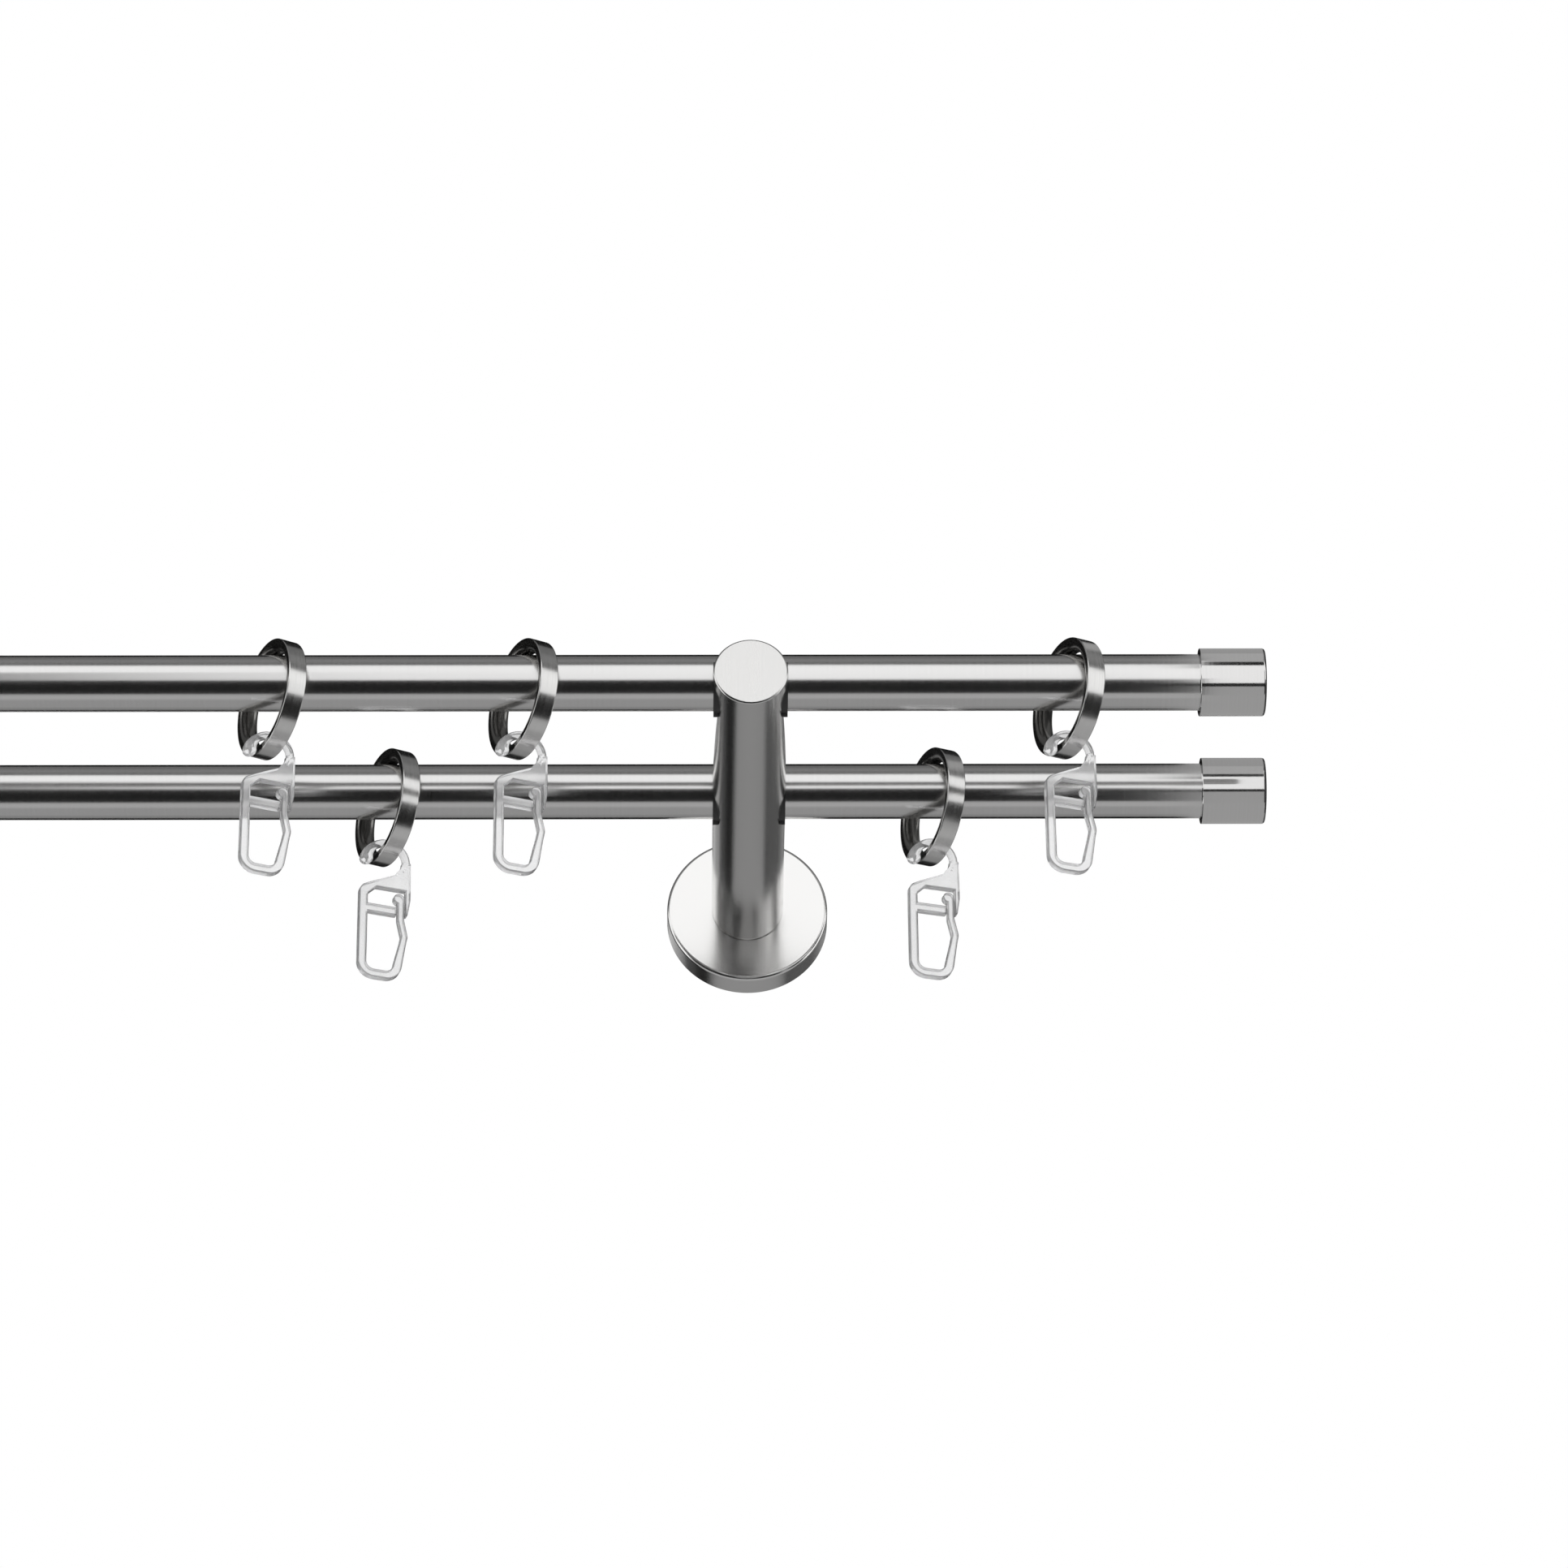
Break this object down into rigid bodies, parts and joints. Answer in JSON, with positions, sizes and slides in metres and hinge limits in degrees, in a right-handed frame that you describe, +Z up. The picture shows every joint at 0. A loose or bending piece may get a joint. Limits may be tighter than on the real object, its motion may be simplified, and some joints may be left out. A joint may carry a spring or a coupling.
{
  "type": "double curtain pole",
  "caption": "Double curtain pole: two parallel round steel tubes with end caps, carried one behind the other by round wall arms, with sliding rings and clear snap hooks.",
  "frame": {"origin": "centre of the right-hand wall plate's back face, on the wall", "axes": "+X along the poles towards the right end, +Y into the wall, +Z up; the room is at -Y"},
  "size_m": [0.8045, 0.1505, 0.0825],
  "materials": {
    "pole_steel": "fine satin, brushed round the tube",
    "cap_steel": "turned satin",
    "bracket_steel": "fine satin",
    "ring_steel": "brushed across the flat outside, dark inside",
    "zinc_plate": "dull zinc",
    "black_screw": "black oxide",
    "black_plastic": "matt black",
    "clear_plastic": "clear, glossy"
  },
  "bodies": {
    "mounted": {"front_pole": "pole_steel", "rear_pole": "pole_steel", "front_cap_right": "cap_steel", "front_cap_left": "cap_steel", "rear_cap_right": "cap_steel", "rear_cap_left": "cap_steel", "wall_plate_right": "zinc_plate", "wall_plate_left": "zinc_plate", "rosette_right": "bracket_steel", "rosette_left": "bracket_steel", "arm_right": "bracket_steel", "arm_left": "bracket_steel", "base_screw_right": "black_screw", "base_screw_left": "black_screw", "front_liner_right": "black_plastic", "front_liner_left": "black_plastic", "rear_liner_right": "black_plastic", "rear_liner_left": "black_plastic"},
    "front_ring_1": {"front_ring_1": "ring_steel"},
    "front_ring_2": {"front_ring_2": "ring_steel"},
    "front_ring_3": {"front_ring_3": "ring_steel"},
    "front_ring_4": {"front_ring_4": "ring_steel"},
    "front_ring_5": {"front_ring_5": "ring_steel"},
    "front_ring_6": {"front_ring_6": "ring_steel"},
    "rear_ring_1": {"rear_ring_1": "ring_steel"},
    "rear_ring_2": {"rear_ring_2": "ring_steel"},
    "rear_ring_3": {"rear_ring_3": "ring_steel"},
    "rear_ring_4": {"rear_ring_4": "ring_steel"},
    "front_hook_1": {"front_hook_1": "clear_plastic"},
    "front_hook_2": {"front_hook_2": "clear_plastic"},
    "front_hook_3": {"front_hook_3": "clear_plastic"},
    "front_hook_4": {"front_hook_4": "clear_plastic"},
    "front_hook_5": {"front_hook_5": "clear_plastic"},
    "front_hook_6": {"front_hook_6": "clear_plastic"},
    "rear_hook_1": {"rear_hook_1": "clear_plastic"},
    "rear_hook_2": {"rear_hook_2": "clear_plastic"},
    "rear_hook_3": {"rear_hook_3": "clear_plastic"},
    "rear_hook_4": {"rear_hook_4": "clear_plastic"}
  },
  "joints": [
    {"name": "front_ring_1_slide", "type": "slide", "parent": "mounted", "child": "front_ring_1", "axis": [1, 0, 0], "range_m": [-0.0255, 0.0675]},
    {"name": "front_hook_1_swing", "type": "hinge", "parent": "front_ring_1", "child": "front_hook_1", "pos_m": [-0.5996, -0.134, -0.0181], "axis": [0.3024, -0.9532, 0], "range_deg": [-30, 30]},
    {"name": "front_ring_2_slide", "type": "slide", "parent": "mounted", "child": "front_ring_2", "axis": [1, 0, 0], "range_m": [-0.042, 0.0235]},
    {"name": "front_hook_2_swing", "type": "hinge", "parent": "front_ring_2", "child": "front_hook_2", "pos_m": [-0.446, -0.134, -0.0181], "axis": [0.3469, -0.9379, 0], "range_deg": [-30, 30]},
    {"name": "front_ring_3_slide", "type": "slide", "parent": "mounted", "child": "front_ring_3", "axis": [1, 0, 0], "range_m": [-0.0235, 0.109]},
    {"name": "front_hook_3_swing", "type": "hinge", "parent": "front_ring_3", "child": "front_hook_3", "pos_m": [-0.3754, -0.134, -0.0181], "axis": [0.3665, -0.9304, 0], "range_deg": [-30, 30]},
    {"name": "front_ring_4_slide", "type": "slide", "parent": "mounted", "child": "front_ring_4", "axis": [1, 0, 0], "range_m": [-0.109, 0.0235]},
    {"name": "front_hook_4_swing", "type": "hinge", "parent": "front_ring_4", "child": "front_hook_4", "pos_m": [-0.1346, -0.134, -0.0181], "axis": [0.3665, -0.9304, 0], "range_deg": [-30, 30]},
    {"name": "front_ring_5_slide", "type": "slide", "parent": "mounted", "child": "front_ring_5", "axis": [1, 0, 0], "range_m": [-0.0235, 0.042]},
    {"name": "front_hook_5_swing", "type": "hinge", "parent": "front_ring_5", "child": "front_hook_5", "pos_m": [-0.064, -0.134, -0.0181], "axis": [0.3469, -0.9379, 0], "range_deg": [-30, 30]},
    {"name": "front_ring_6_slide", "type": "slide", "parent": "mounted", "child": "front_ring_6", "axis": [1, 0, 0], "range_m": [-0.0675, 0.0255]},
    {"name": "front_hook_6_swing", "type": "hinge", "parent": "front_ring_6", "child": "front_hook_6", "pos_m": [0.0896, -0.134, -0.0181], "axis": [0.3024, -0.9532, 0], "range_deg": [-30, 30]},
    {"name": "rear_ring_1_slide", "type": "slide", "parent": "mounted", "child": "rear_ring_1", "axis": [1, 0, 0], "range_m": [-0.057, 0.031]},
    {"name": "rear_hook_1_swing", "type": "hinge", "parent": "rear_ring_1", "child": "rear_hook_1", "pos_m": [-0.5632, -0.073, -0.0181], "axis": [0.2672, -0.9636, 0], "range_deg": [-30, 30]},
    {"name": "rear_ring_2_slide", "type": "slide", "parent": "mounted", "child": "rear_ring_2", "axis": [1, 0, 0], "range_m": [-0.0825, 0.139]},
    {"name": "rear_hook_2_swing", "type": "hinge", "parent": "rear_ring_2", "child": "rear_hook_2", "pos_m": [-0.4055, -0.073, -0.0181], "axis": [0.3338, -0.9426, 0], "range_deg": [-30, 30]},
    {"name": "rear_ring_3_slide", "type": "slide", "parent": "mounted", "child": "rear_ring_3", "axis": [1, 0, 0], "range_m": [-0.139, 0.0825]},
    {"name": "rear_hook_3_swing", "type": "hinge", "parent": "rear_ring_3", "child": "rear_hook_3", "pos_m": [-0.1045, -0.073, -0.0181], "axis": [0.3338, -0.9426, 0], "range_deg": [-30, 30]},
    {"name": "rear_ring_4_slide", "type": "slide", "parent": "mounted", "child": "rear_ring_4", "axis": [1, 0, 0], "range_m": [-0.031, 0.066]},
    {"name": "rear_hook_4_swing", "type": "hinge", "parent": "rear_ring_4", "child": "rear_hook_4", "pos_m": [0.0532, -0.073, -0.0181], "axis": [0.2672, -0.9636, 0], "range_deg": [-30, 30]}
  ]
}
